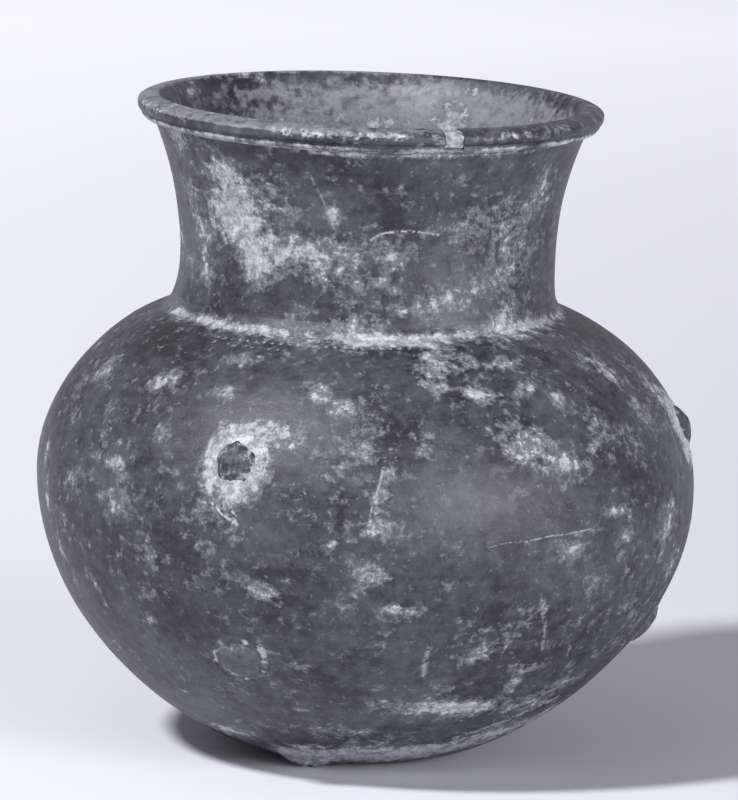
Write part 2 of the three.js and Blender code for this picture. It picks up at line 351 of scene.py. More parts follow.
def deposit_and_light_at(points, places):
    angle = angle_of(points)
    radius = np.hypot(points[:, 0], points[:, 1])
    total = np.zeros(len(points))
    for centre, height, wide, tall, strength in places:
        across = angle_gap(angle, centre) * math.pi / 180 * radius / wide
        up = (points[:, 2] - height) / tall
        total += strength * np.exp(-0.9 * (across**2 + up**2))
    return np.clip(total, 0, 1.3)


print("patches of deposit:", len(patches) + len(inside_patches))

# %% [markdown]
# Each wall is a closed outline turned about the jar's axis. The columns are close enough for a dot to be
# a real pit. What is carved or built up on the outside moves along the wall's own normal, and then the
# whole piece is bent by the hand-made unevenness.

# %% Wall builder
def turned(outline, columns, capped=False):
    """Points and faces of an outline, in mm, turned about the axis. A capped one ends in flat discs."""
    count = len(outline)
    turn = np.linspace(0, 2 * math.pi, columns, endpoint=False)[:, None]
    x = np.sin(turn) * outline[:, 0]
    y = -np.cos(turn) * outline[:, 0]
    z = np.broadcast_to(outline[:, 1], x.shape)
    points = np.stack([x, y, z], -1).reshape(-1, 3)
    here = np.arange(columns)[:, None] * count
    beside = (np.arange(columns)[:, None] + 1) % columns * count
    j = np.arange(count - 1 if capped else count)
    up = (j + 1) % count
    faces = np.stack([here + j, beside + j, beside + up, here + up], -1).reshape(-1, 4).tolist()
    if capped:
        ring = [i * count for i in range(columns)]
        faces.append(ring[::-1])
        faces.append([i + count - 1 for i in ring])
    return points, faces


def spun_normals(skin, columns):
    """The outward normal at each point of a turned stretch of outline, its two ends included."""
    along = np.gradient(skin, axis=0)
    along /= np.maximum(np.linalg.norm(along, axis=1), 1e-9)[:, None]
    turn = np.linspace(0, 2 * math.pi, columns, endpoint=False)[:, None]
    x = np.sin(turn) * along[:, 1]
    y = -np.cos(turn) * along[:, 1]
    z = np.broadcast_to(-along[:, 0], x.shape)
    return np.stack([x, y, z], -1).reshape(-1, 3)


def add_mesh(name, points, faces, values):
    mesh = bpy.data.meshes.new(name)
    mesh.from_pydata((points * MM).tolist(), [], faces)
    for key, value in values.items():
        layer = mesh.attributes.new(key, "FLOAT", "POINT")
        layer.data.foreach_set("value", np.broadcast_to(value, len(points)).astype(np.float32))
    mesh.polygons.foreach_set("use_smooth", [True] * len(mesh.polygons))
    mesh.set_sharp_from_angle(angle=math.radians(55))
    mesh.update()
    piece = bpy.data.objects.new(name, mesh)
    bpy.context.scene.collection.objects.link(piece)
    return piece


def add_wall(name, outline, columns, skin, marks, hidden):
    """A wall piece. marks gives the depth to carve and the finish values of the points on its skin."""
    points, faces = turned(outline, columns)
    on_skin = np.tile(skin, columns)
    depth, seen = marks(points[on_skin])
    values = {key: hidden(points, key) for key in ("deposit", "wash", "filled")}
    for key, value in seen.items():
        values[key][on_skin] = value
    moved = points.copy()
    moved[on_skin] -= spun_normals(outline[skin], columns) * depth[:, None]
    return add_mesh(name, bend(moved), faces, values)


def plain_inside(points, key):
    return np.full(len(points), {"deposit": 0.3, "wash": 0.35, "filled": 0.0}[key])


def stand_for(piece, node):
    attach(piece, "root")
    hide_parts(node)
    print(piece.name, len(piece.data.polygons), "faces")


# %% [markdown]
# Studs need pits, so their places come before the walls. The upper studs are roughly five-cornered and
# stand in a broad white crust. The lower ones are wider, nearly flush and toned like the clay, with only a
# broken ring of pale specks.

# %% Where the studs sit
upper_studs = {"z": 108, "turn": -23.2, "step": 109.2, "head": 6.6, "dome": 2.8, "bedding": 9.2,
               "corners": 0.8, "collar": 0.5, "halo": 1.45, "halo_radius": 7.6, "halo_fade": 4.6, "ring": 0}
lower_studs = {"z": 44, "turn": -24.6, "step": 106.5, "head": 7.2, "dome": 2.0, "bedding": 8.8,
               "corners": 0.0, "collar": 0.05, "halo": 1.5, "halo_radius": 8.2, "halo_fade": 1.1, "ring": 1}
crust_thick_mm = 0.35
stud_count = 3
pit_depth = 4
pit_slope_mm = 1.1
shank_radius = 3
head_seat = -0.2


def stud_seat(stud, index):
    """The point on the wall and the three directions of a stud's own axes."""
    turn = math.radians(stud["turn"] + stud["step"] * index)
    z = stud["z"]
    step = 0.2
    slope = float(body_radius(np.float64(z + step)) - body_radius(np.float64(z - step))) / (2 * step)
    across = Vector((math.sin(turn), -math.cos(turn), 0))
    normal = (across - Vector((0, 0, slope))).normalized()
    side = Vector((math.cos(turn), math.sin(turn), 0))
    point = across * float(body_radius(np.float64(z))) + Vector((0, 0, z))
    return point, normal, side, normal.cross(side)


def halo_at(stud, reach, place):
    """How pale the crust is at a distance in mm from a stud's middle. Its edge wanders with the place."""
    ragged = reach + 2.2 * field(place, 5.5, 40) + 1.4 * field(place, 2.2, 41)
    away = ragged - stud["halo_radius"]
    if stud["ring"]:
        broken = np.clip(0.3 + 3.2 * field(place, 2.6, 43), 0, 1)
        return stud["halo"] * broken * np.exp(-((away / stud["halo_fade"]) ** 2))
    return stud["halo"] * np.exp(-((np.maximum(away, 0) / stud["halo_fade"]) ** 2))


def stud_pits(points):
    """How deep each wall point lies in a stud's pit, in mm, and how pale the crust is there."""
    depth = np.zeros(len(points))
    halo = np.zeros(len(points))
    for stud in (upper_studs, lower_studs):
        for index in range(stud_count):
            point, normal, side, up = stud_seat(stud, index)
            away = points - np.array(point)
            rise = away @ np.array(normal)
            reach = np.linalg.norm(away - rise[:, None] * np.array(normal), axis=1)
            near_side = rise > -2 * body_wall
            pit = np.clip((stud["bedding"] + gap - reach) / pit_slope_mm, 0, 1) * pit_depth
            depth = np.maximum(depth, pit * near_side)
            close = near_side & (reach < 3 * stud["halo_radius"])
            halo[close] = np.maximum(halo[close], halo_at(stud, reach[close], points[close]))
    return depth, halo


# %% [markdown]
# The foot is caked with hard crust. One lump of it stands out at the front left, where the jar meets the
# table. It is part of the bowl's mesh: the skin there is built up, and a short noise makes it craggy.

# %% Crust on the foot, and the marks of an outside wall
lump = {"angle": -24, "height": 2.6, "wide": 7.5, "tall": 4.2, "thick": 2.4}


def lump_height(points):
    across = angle_gap(angle_of(points), lump["angle"]) * math.pi / 180
    across *= np.hypot(points[:, 0], points[:, 1]) / lump["wide"]
    up = (points[:, 2] - lump["height"]) / lump["tall"]
    near = np.exp(-1.2 * (across**2 + up**2))
    near[near < 0.05] = 0
    return near * lump["thick"] * (1 + 0.8 * field(points, 3.4, 17))


def wall_marks(points):
    deep, full = dot_marks(points)
    pits, halo = stud_pits(points)
    deposit = np.clip(deposit_and_light_at(points, patches) + halo, 0, 1.7)
    crust = 0.12 * np.clip(deposit - 0.5, 0, 1) + crust_thick_mm * np.clip(halo - 0.7, 0, 1)
    crust *= 1 + field(points, 2.6, 19)
    depth = dot_depth_mm * deep + pits - crust - lump_height(points)
    return depth, {"deposit": deposit, "wash": 0.0, "filled": full}


# %% [markdown]
# Base and bowl. The base is the pad that the bowl was raised on, and it carries the jar. The bowl grows
# from the foot to the belly in one rounded curve.

# %% Base and bowl
wall_columns = 600
skin_step_mm = 0.95
hidden_step_mm = 5.0


def make_base():
    radii = np.linspace(1.5, floor_radius, 16)
    under = np.stack([radii, np.zeros(16)], 1)
    above = np.stack([radii[::-1], np.full(16, body_wall)], 1)
    points, faces = turned(np.concatenate([under, above]), 160, capped=True)
    piece = add_mesh("base_pad", points, faces, {"deposit": 0.4, "wash": 0.3, "filled": 0})
    stand_for(piece, "base_disc")
    return piece


def make_bowl():
    skin = even_points(bowl_radius, 0.0, belly_z, skin_step_mm)
    inner = offset_inward(even_points(bowl_radius, 1.0, belly_z, hidden_step_mm), body_wall)
    inner[-1] = (belly_radius - body_wall, belly_z)
    inner = inner[inner[:, 0] > floor_radius + 2 * gap]
    outline = np.concatenate([
        [(floor_radius + gap, 0.0)], skin, inner[::-1], [(floor_radius + gap, body_wall)],
    ])
    on_skin = np.zeros(len(outline), bool)
    on_skin[1:len(skin) + 1] = True
    piece = add_wall("bowl_wall", outline, wall_columns, on_skin, wall_marks, plain_inside)
    for vertex in piece.data.vertices:
        vertex.co.z = max(vertex.co.z, 0)
    stand_for(piece, "lower_bowl")
    return piece


base_pad = make_base()
bowl_wall = make_bowl()

# %% [markdown]
# Shoulder: from the belly in to the flat ring that carries the neck. It has the dots, so it has the most
# columns, and its rows lie closest together in the band where the dots are.

# %% Shoulder
shoulder_columns = dots_round * 6
shoulder_step_mm = 1.2
dot_band_step_mm = 0.42
dot_band_z = 136.5
neck_foot_radius = float(neck_radius(np.float64(seam_z + fillet_height))) - fillet_depth
opening_radius = neck_foot_radius - neck_wall


def make_shoulder():
    coarse = even_points(shoulder_radius, belly_z, dot_band_z, shoulder_step_mm)
    fine = even_points(shoulder_radius, dot_band_z, seam_z, dot_band_step_mm)
    skin = np.concatenate([coarse[:-1], fine])
    inner = offset_inward(even_points(shoulder_radius, belly_z, seam_z, hidden_step_mm), body_wall)
    inner = inner[inner[:, 1] < seam_z - body_wall]
    inner[0] = (belly_radius - body_wall, belly_z)
    outline = np.concatenate([
        skin, [(opening_radius, seam_z), (opening_radius, seam_z - body_wall)], inner[::-1],
    ])
    on_skin = np.zeros(len(outline), bool)
    on_skin[:len(skin)] = True
    piece = add_wall("shoulder_skin", outline, shoulder_columns, on_skin, wall_marks, plain_inside)
    stand_for(piece, "shoulder_wall")
    return piece


shoulder_skin = make_shoulder()

# %% [markdown]
# Neck and fillet. The neck was made apart and luted on. Lime filler closes the step round its foot and
# runs out over the shoulder in a small concave toe, so no line shows between them, only ragged crust.
# Inside, the side of the neck that faces the key lamp is painted pale as painted light, and the far side is
# left dark as painted shade.

# %% Neck and fillet
filler_toe_mm = 2.7
filler_pull_mm = 1.2
crumble_mm = 0.32


def inside_neck(points, key):
    if key == "deposit":
        return deposit_and_light_at(points, inside_patches)
    if key == "wash":
        # The wash inside is painted light: full on the wall round 155°, which faces the key lamp, and gone on
        # the far side, which stays dark as painted shade. It weakens to 0.3 at the rim itself and is full
        # from 6 mm below it.
        key_lit_side = 0.5 + 0.5 * np.cos(np.radians(angle_gap(angle_of(points), 155)))
        below_rim = np.clip((rim_z - points[:, 2]) / 6, 0.3, 1)
        return 0.03 + 0.94 * key_lit_side**2.5 * below_rim
    return np.zeros(len(points))


def neck_marks(points):
    deposit = deposit_and_light_at(points, patches)
    crust = 0.1 * np.clip(deposit - 0.5, 0, 1) * (1 + field(points, 2.6, 19))
    return -crust, {"deposit": deposit, "wash": 0.0, "filled": 0.0}


def make_neck():
    foot_z = seam_z + fillet_height
    skin = even_points(neck_radius, foot_z, lip_seat_z, 0.75)
    inner = even_points(neck_radius, foot_z, lip_seat_z, 1.5)
    inner[:, 0] -= neck_wall
    foot = [(opening_radius, seam_z), (neck_foot_radius, seam_z), (neck_foot_radius, foot_z)]
    outline = np.concatenate([foot, skin, inner[::-1]])
    on_skin = np.zeros(len(outline), bool)
    on_skin[3:len(skin) + 3] = True
    piece = add_wall("neck_wall", outline, wall_columns, on_skin, neck_marks, inside_neck)
    stand_for(piece, "neck_collar")
    return piece


def filler_marks(points):
    up = np.clip((seam_z + fillet_height - points[:, 2]) / fillet_height, 0, 1)
    crumble = crumble_mm * (field(points, 2.8, 8) + 0.5 * field(points, 1.2, 9)) * up
    deposit = np.clip(deposit_and_light_at(points, patches) + 0.08 * up, 0, 1.3)
    return crumble, {"deposit": deposit, "wash": 0.0, "filled": 0.0}


def make_fillet():
    inside = neck_foot_radius + gap
    top_z = seam_z + fillet_height
    toe = np.array((seam_radius + filler_toe_mm, seam_z - 0.7))
    pull = np.array((seam_radius - 0.5, seam_z + 0.5))
    top = np.array((float(neck_radius(np.float64(top_z))), top_z))
    curve = [(1 - t) ** 2 * toe + 2 * t * (1 - t) * pull + t * t * top for t in np.linspace(0, 1, 13)]
    outline = np.array([(inside, seam_z), (seam_radius, seam_z), *curve, (inside, top_z)])
    on_skin = np.zeros(len(outline), bool)
    on_skin[2:-1] = True
    piece = add_wall("neck_filler", outline, wall_columns, on_skin, filler_marks, plain_inside)
    stand_for(piece, "neck_fillet")
    return piece


neck_wall_piece = make_neck()
neck_filler = make_fillet()

# %% [markdown]
# The lip is a rolled ring. Its top is a smooth band that slopes outward. Under its widest edge a groove
# parts it from a second, smaller ridge. The edge is chipped white in runs where it was knocked, and one
# notch is broken right through and filled with plaster. Chips, groove and notch are all real shape.

# %% Lip
lip_columns = 1100
groove = {"turn": 0.64, "width": 0.075, "depth": 0.75}
ridge = {"turn": 0.46, "width": 0.12, "height": 0.22}
groove_half_angle = 72
chip_depth_mm = 0.9
edge_band_mm = 0.85
under_groove_mm = 3.1
soft_mm = 0.5
pale_side_at = -90
chip_runs = [
    {"from": -24, "to": 1, "strength": 1.0}, {"from": 3, "to": 18, "strength": 0.75},
    {"from": 26, "to": 47, "strength": 0.8}, {"from": -80, "to": -62, "strength": 0.6},
    {"from": 140, "to": 156, "strength": 0.6}, {"from": 200, "to": 232, "strength": 0.7},
]
notch = {"turn": 20.9, "width": 6.4, "depth": 6.0, "ragged": 0.9, "sunk": 0.5}


def lip_outline():
    mouth = lip_seat_radius - neck_wall
    outline = [(mouth, lip_seat_z), (lip_seat_radius, lip_seat_z)]
    for t in np.linspace(0, 1, 33)[1:]:
        lift = t * math.pi / 2
        radius = lip_seat_radius + (lip_radius - lip_seat_radius) * math.sin(lift)
        outline.append((radius, lip_widest_z - (lip_widest_z - lip_seat_z) * math.cos(lift)))
    for t in np.linspace(0, 1, 15)[1:]:
        lift = t * math.pi / 2
        radius = crest_radius + (lip_radius - crest_radius) * math.cos(lift)
        outline.append((radius, lip_widest_z + (rim_z - lip_widest_z) * math.sin(lift)))
    slope = 2 * (lip_seat_radius - waist_radius) / (lip_seat_z - waist_z)
    straight = slope * (rim_z - lip_seat_z)
    for t in np.linspace(1, 0, 10)[1:-1]:
        radius = mouth + straight * t + (crest_radius - mouth - straight) * t**mouth_power
        outline.append((radius, lip_seat_z + (rim_z - lip_seat_z) * t))
    return np.array(outline)


def tooled(points):
    """How deep the groove is cut at each lip point, less the ridge under it. Both die out at the sides."""
    lift = np.clip((lip_widest_z - points[:, 2]) / (lip_widest_z - lip_seat_z), 0, 1)
    t = np.arccos(lift) / (math.pi / 2)
    cut = groove["depth"] * np.exp(-(((t - groove["turn"]) / groove["width"]) ** 2))
    cut -= ridge["height"] * np.exp(-(((t - ridge["turn"]) / ridge["width"]) ** 2))
    outside = np.hypot(points[:, 0], points[:, 1]) > lip_seat_radius
    away = np.abs(angle_gap(angle_of(points), 0)) - groove_half_angle
    return cut * outside * np.clip(1 - away / 20, 0, 1)


def chip_strength(angle):
    total = np.zeros(len(angle))
    for run in chip_runs:
        middle = (run["from"] + run["to"]) / 2
        half = (run["to"] - run["from"]) / 2
        share = np.clip((half - np.abs(angle_gap(angle, middle))) / 2 + 0.5, 0, 1)
        total = np.maximum(total, share * run["strength"])
    return total


def lip_marks(points):
    radius = np.hypot(points[:, 0], points[:, 1])
    z = points[:, 2]
    top = np.clip((z - lip_widest_z) / soft_mm, 0, 1) * (radius > crest_radius - 0.4)
    inside = (radius < crest_radius - 0.4) & (z > lip_seat_z + 0.2) & (radius < lip_seat_radius + 0.6)
    under = np.clip((lip_widest_z - under_groove_mm - z) / soft_mm, 0, 1) * (1 - inside)
    edge = np.exp(-(((radius - lip_radius + 0.6) / edge_band_mm) ** 2))
    edge *= np.clip((z - lip_widest_z + 0.9) / 0.6, 0, 1)
    crumbs = 1.6 * field(points, 2.6, 12) + 1.2 * field(points, 1.2, 13)
    bite = np.clip(crumbs + 0.15, 0, 1) * chip_strength(angle_of(points)) * edge
    uneven = 0.5 + 0.8 * field(points, 12, 14)
    # On the top band, deposit and wash are full over the left half of the lip, round pale_side_at, and fall
    # to 0.15 on the right.
    left = np.clip((120 - np.abs(angle_gap(angle_of(points), pale_side_at))) / 30, 0.15, 1)
    deposit = 0.5 * top * uneven * left + under * (uneven + 0.35) + 0.04
    inward = np.where(inside, np.clip((crest_radius + 0.6 - radius) / 2.4, 0, 1), 0)
    deposit = deposit * (1 - inward) + inside_neck(points, "deposit") * inward
    wash = (0.62 * top * left + 0.05) * (1 - inward) + inside_neck(points, "wash") * inward
    filled = np.clip(bite * 1.5, 0, 1)
    return chip_depth_mm * bite + tooled(points), {"deposit": deposit, "wash": wash, "filled": filled}


def plug_marks(points):
    """The plaster was pressed in a little below the rim, with an uneven face."""
    sunk = notch["sunk"] * (1 + 1.2 * field(points, 2.2, 50))
    return sunk, {}


def cut_block(margin, name):
    """A block with broken sides that shapes the notch, or with a margin its plug."""
    turn = math.radians(notch["turn"])
    half = Vector((notch["width"] / 2, 12, notch["depth"]))
    build = bmesh.new()
    bmesh.ops.create_cube(build, size=2)
    bmesh.ops.subdivide_edges(build, edges=build.edges[:], cuts=14, use_grid_fill=True)
    for vertex in build.verts:
        spot = Vector([vertex.co[i] * half[i] for i in range(3)])
        broken = Vector((noise.noise(spot / 1.6), 0, noise.noise(spot / 1.6 + Vector((9, 9, 9)))))
        vertex.co = (spot + broken * notch["ragged"]) * MM
        vertex.co.x *= 1 - 2 * margin / notch["width"]
        vertex.co.z *= 1 - margin / notch["depth"]
    mesh = bpy.data.meshes.new(name)
    build.to_mesh(mesh)
    build.free()
    block = bpy.data.objects.new(name, mesh)
    bpy.context.scene.collection.objects.link(block)
    middle = lip_radius - 4
    block.location = Vector((math.sin(turn) * middle, -math.cos(turn) * middle, rim_z)) * MM
    block.rotation_euler = (0, 0, turn)
    bpy.context.view_layer.update()
    return block


def boolean(piece, block, operation):
    cut = piece.modifiers.new("cut", "BOOLEAN")
    cut.operation = operation
    cut.object = block
    cut.solver = "EXACT"
    bpy.context.view_layer.objects.active = piece
    bpy.ops.object.modifier_apply(modifier=cut.name)
    bpy.data.objects.remove(block)


def make_lip():
    outline = lip_outline()
    on_skin = np.ones(len(outline), bool)
    on_skin[:2] = False
    piece = add_wall("rolled_lip", outline, lip_columns, on_skin, lip_marks, inside_neck)
    plug = add_wall("notch_plaster", outline, lip_columns, on_skin, plug_marks, inside_neck)
    boolean(piece, cut_block(0, "notch_cut"), "DIFFERENCE")
    boolean(plug, cut_block(0.1, "plug_cut"), "INTERSECT")
    stand_for(piece, "lip_ring")
    stand_for(plug, "rim_fill")
    return piece, plug


rolled_lip, notch_plaster = make_lip()

# %% [markdown]
# Studs and bedding. Each stud is a cast dome on a shank, pushed into lime mortar while that was soft.
# The mortar fills the pit and smears out over the wall in a thin crumbling edge. Corrosion has left the
# upper domes knobbly, while the lower ones are low lenses, worn almost flush with the wall.

# %% Studs and their bedding
stud_columns = 96
smear_mm = 2.8
smear_edge = -0.15
head_side = 72
first_corner = 90
corner_turn = 40
corner_cut = 0.9


def plan(stud, index, points):
    """How far from round a stud is on each side. The mortar follows the head and is round at its own edge."""
    turn = np.arctan2(points[:, 1], points[:, 0])
    past_corner = np.degrees(turn) - first_corner - corner_turn * index
    off_side = np.radians(np.mod(past_corner, head_side) - head_side / 2)
    corners = stud["corners"] * (corner_cut / np.cos(off_side) - 1)
    rim = np.stack([np.cos(turn), np.sin(turn), np.full(len(turn), index + stud["z"])], 1) * stud["head"]
    reach = np.hypot(points[:, 0], points[:, 1])
    hold = np.clip((stud["bedding"] - reach) / (stud["bedding"] - stud["head"]), 0, 1)
    return 1 + (corners + 0.12 * field(rim, 4.5, 44) + 0.09 * field(rim, 1.7, 45)) * hold


def seated(outline, stud, index, seed, rough, capped):
    """A small turned shape with a crumbly surface, laid on the curve of the wall at a stud's place."""
    point, normal, side, up = stud_seat(stud, index)
    points, faces = turned(np.array(outline), stud_columns, capped)
    place = points + np.array([0, 0, 90.0 * index + stud["z"]])
    shift = rough * (field(place, 3.2, seed) + 0.6 * field(place, 1.2, seed + 1))
    reach = np.hypot(points[:, 0], points[:, 1])
    points[:, 2] += shift * (points[:, 2] > -1.0) * np.clip((reach.max() - reach) / 3, 0, 1)
    points[:, :2] *= plan(stud, index, points)[:, None]
    axes = np.array([side, up, normal])
    flat = points[:, :2] @ axes[:2] + np.array(point)
    fall = np.hypot(flat[:, 0], flat[:, 1]) - body_radius(flat[:, 2])
    points[:, 2] -= fall * math.hypot(normal.x, normal.y)
    moved = bend(points @ axes + np.array(point))
    return moved, faces, reach


def bedding_outline(stud):
    """Mortar: a floor under the head, a collar that laps its edge, and a smear that thins out on the wall."""
    bore = shank_radius + gap
    edge = stud["bedding"]
    lap = stud["head"] - 0.2
    bottom = gap - pit_depth
    outline = [(bore, bottom), (edge - 0.3, bottom), (edge - 0.3, -1.6)]
    for t in np.linspace(0, 1, 16):
        radius = edge + smear_mm - t * (edge + smear_mm - lap)
        outline.append((radius, smear_edge + (stud["collar"] - smear_edge) * t**1.6))
    outline += [(lap, head_seat - gap), (bore, head_seat - gap)]
    return outline


def stud_outline(stud):
    """A shank, and a head that rises from the mortar as a low dome."""
    foot = 2 * gap - pit_depth
    outline = [(0.4, foot), (shank_radius, foot), (shank_radius, head_seat)]
    for t in np.linspace(0, 0.95, 18):
        rise = (1 - (1 - t) ** 2) ** 0.65
        outline.append((stud["head"] * (1 - t), head_seat + (stud["dome"] - head_seat) * rise))
    return outline


def add_bedding(level, stud, index, seed):
    points, faces, reach = seated(bedding_outline(stud), stud, index, seed, 0.3, False)
    deposit = np.clip(halo_at(stud, reach, points) + deposit_and_light_at(points, patches), 0, 1.7)
    values = {"deposit": deposit, "wash": 0.0, "filled": 0.0}
    piece = add_mesh(f"mortar_{level}_{index + 1}", points, faces, values)
    stand_for(piece, f"{level}_bedding_{index + 1}")
    return piece


def add_stud(level, stud, index, seed, rough):
    points, faces, reach = seated(stud_outline(stud), stud, index, seed, rough, True)
    piece = add_mesh(f"stud_{level}_{index + 1}", points, faces, {"rim": reach / stud["head"]})
    stand_for(piece, f"{level}_stud_{index + 1}")
    return piece


beddings = []
upper_heads = []
lower_heads = []
for index in range(stud_count):
    beddings.append(add_bedding("upper", upper_studs, index, 20 + 3 * index))
    beddings.append(add_bedding("lower", lower_studs, index, 30 + 3 * index))
    upper_heads.append(add_stud("upper", upper_studs, index, 21 + 3 * index, 0.4))
    lower_heads.append(add_stud("lower", lower_studs, index, 31 + 3 * index, 0.18))

# %% [markdown]
# Finishes. One small function adds a node with its settings and its links, and one turns a colour from
# the usual hex form to the linear values that the shader wants.

# %% Node and colour helpers
def linear(hex_colour):
    parts = [int(hex_colour[i:i + 2], 16) / 255 for i in (1, 3, 5)]
    return [c / 12.92 if c <= 0.04045 else ((c + 0.055) / 1.055) ** 2.4 for c in parts] + [1]


def add_node(tree, kind, settings=None, links=None):
    """Adds a node. Settings name its own properties or sockets; links join a socket to another's output."""
    node = tree.nodes.new(kind)
    for key, value in (settings or {}).items():
        if isinstance(key, str) and hasattr(node, key):
            setattr(node, key, value)
        else:
            node.inputs[key].default_value = value
    for key, source in (links or {}).items():
        tree.links.new(source, node.inputs[key])
    return node


def new_material(name):
    material = bpy.data.materials.new(name)
    material.use_nodes = True
    tree = material.node_tree
    tree.nodes.clear()
    place = add_node(tree, "ShaderNodeTexCoord").outputs["Object"]
    return material, tree, place


def finish(tree, shader):
    add_node(tree, "ShaderNodeOutputMaterial", {}, {"Surface": shader.outputs[0]})


def strongest(tree, masks):
    """The largest of some masks at each point."""
    most = masks[0]
    for mask in masks[1:]:
        most = add_node(tree, "ShaderNodeMath", {"operation": "MAXIMUM"}, {0: most, 1: mask}).outputs[0]
    return most


def weighed(tree, *parts):
    """The sum of some patterns, each times its own weight."""
    total = None
    for value, weight in parts:
        links = {0: value} if total is None else {0: value, 2: total}
        total = add_node(tree, "ShaderNodeMath",
                         {"operation": "MULTIPLY_ADD", 1: weight, 2: 0.0}, links).outputs[0]
    return total


def toned(tree, value, low, high, dark, pale):
    """A colour that goes from dark to pale as a pattern goes from low to high."""
    share = add_node(tree, "ShaderNodeMapRange", {"From Min": low, "From Max": high}, {"Value": value})
    return add_node(tree, "ShaderNodeMix", {"data_type": "RGBA", 6: linear(dark), 7: linear(pale)},
                    {0: share.outputs[0]}).outputs[2]


def per_mm(size_mm):
    """The scale that makes a pattern repeat about once in size_mm, as coordinates are in metres."""
    return 1 / (size_mm * MM)


# %% [markdown]
# Scratches, smears and the flake's edge are too fine for the mesh, so the finish draws them. The wall is
# unrolled there like a label: how far round it a point is, and how high. Each mark is then a straight
# stroke between two places, and its strength falls off with the distance from that stroke.

# %% Fine marks
stroke_wander_mm = 2.6
strokes_on_wall = [
    {"from": (-26.5, 95.5), "to": (-22.3, 89.5), "width": 0.75, "strength": 0.95},
    {"from": (-23.6, 97.0), "to": (-21.9, 92.0), "width": 0.65, "strength": 0.8},
    {"from": (-22.2, 90.4), "to": (-21.6, 89.2), "width": 1.1, "strength": 0.9},
    {"from": (21.5, 84.0), "to": (30.0, 85.6), "width": 0.35, "strength": 0.35},
    {"from": (30.0, 85.6), "to": (42.5, 87.0), "width": 0.4, "strength": 0.55},
    {"from": (0.4, 172.6), "to": (3.6, 175.2), "width": 0.55, "strength": 0.6},
    {"from": (3.6, 175.2), "to": (9.0, 176.2), "width": 0.5, "strength": 0.8},
    {"from": (9.0, 176.2), "to": (16.0, 175.9), "width": 0.55, "strength": 0.9},
    {"from": (16.0, 175.9), "to": (21.4, 174.8), "width": 0.5, "strength": 0.7},
    {"from": (-69.0, 187.0), "to": (-63.0, 184.2), "width": 0.4, "strength": 0.35},
    {"from": (-63.0, 184.2), "to": (-56.0, 183.6), "width": 0.4, "strength": 0.5},
    {"from": (-56.0, 183.6), "to": (-50.0, 185.2), "width": 0.4, "strength": 0.4},
    {"from": (-16.2, 193.0), "to": (-12.4, 184.0), "width": 0.45, "strength": 0.3},
    {"from": (33.4, 66.5), "to": (36.0, 56.0), "width": 1.3, "strength": 0.35},
    {"from": (36.0, 56.0), "to": (37.4, 48.0), "width": 1.1, "strength": 0.3},
    {"from": (13.0, 52.0), "to": (12.6, 41.0), "width": 1.2, "strength": 0.45},
    {"from": (3.6, 109.0), "to": (1.4, 94.0), "width": 0.6, "strength": 0.5},
    {"from": (57.0, 26.0), "to": (30.0, 14.0), "width": 0.9, "strength": 0.6},
    {"from": (62.0, 20.0), "to": (40.0, 10.0), "width": 0.8, "strength": 0.5},
    {"from": (140.0, 118.0), "to": (168.0, 101.0), "width": 0.6, "strength": 0.5},
    {"from": (-160.0, 60.0), "to": (-129.0, 66.0), "width": 0.6, "strength": 0.5},
]


def on_label(spot):
    """A place on the unrolled wall, in metres, from an angle and a height."""
    angle, height = spot
    return Vector((math.radians(angle) * float(outside_radius(np.float64(height))), height, 0)) * MM


def unrolled(tree, place):
    parts = add_node(tree, "ShaderNodeSeparateXYZ", {}, {0: place})
    back = add_node(tree, "ShaderNodeMath", {"operation": "MULTIPLY", 1: -1.0}, {0: parts.outputs[1]})
    turn = add_node(tree, "ShaderNodeMath", {"operation": "ARCTAN2"},
                    {0: parts.outputs[0], 1: back.outputs[0]})
    flat = add_node(tree, "ShaderNodeVectorMath", {"operation": "MULTIPLY", 1: (1, 1, 0)}, {0: place})
    radius = add_node(tree, "ShaderNodeVectorMath", {"operation": "LENGTH"}, {0: flat.outputs[0]})
    along = add_node(tree, "ShaderNodeMath", {"operation": "MULTIPLY"},
                     {0: turn.outputs[0], 1: radius.outputs[1]})
    return add_node(tree, "ShaderNodeCombineXYZ", {}, {0: along.outputs[0], 1: parts.outputs[2]}).outputs[0]


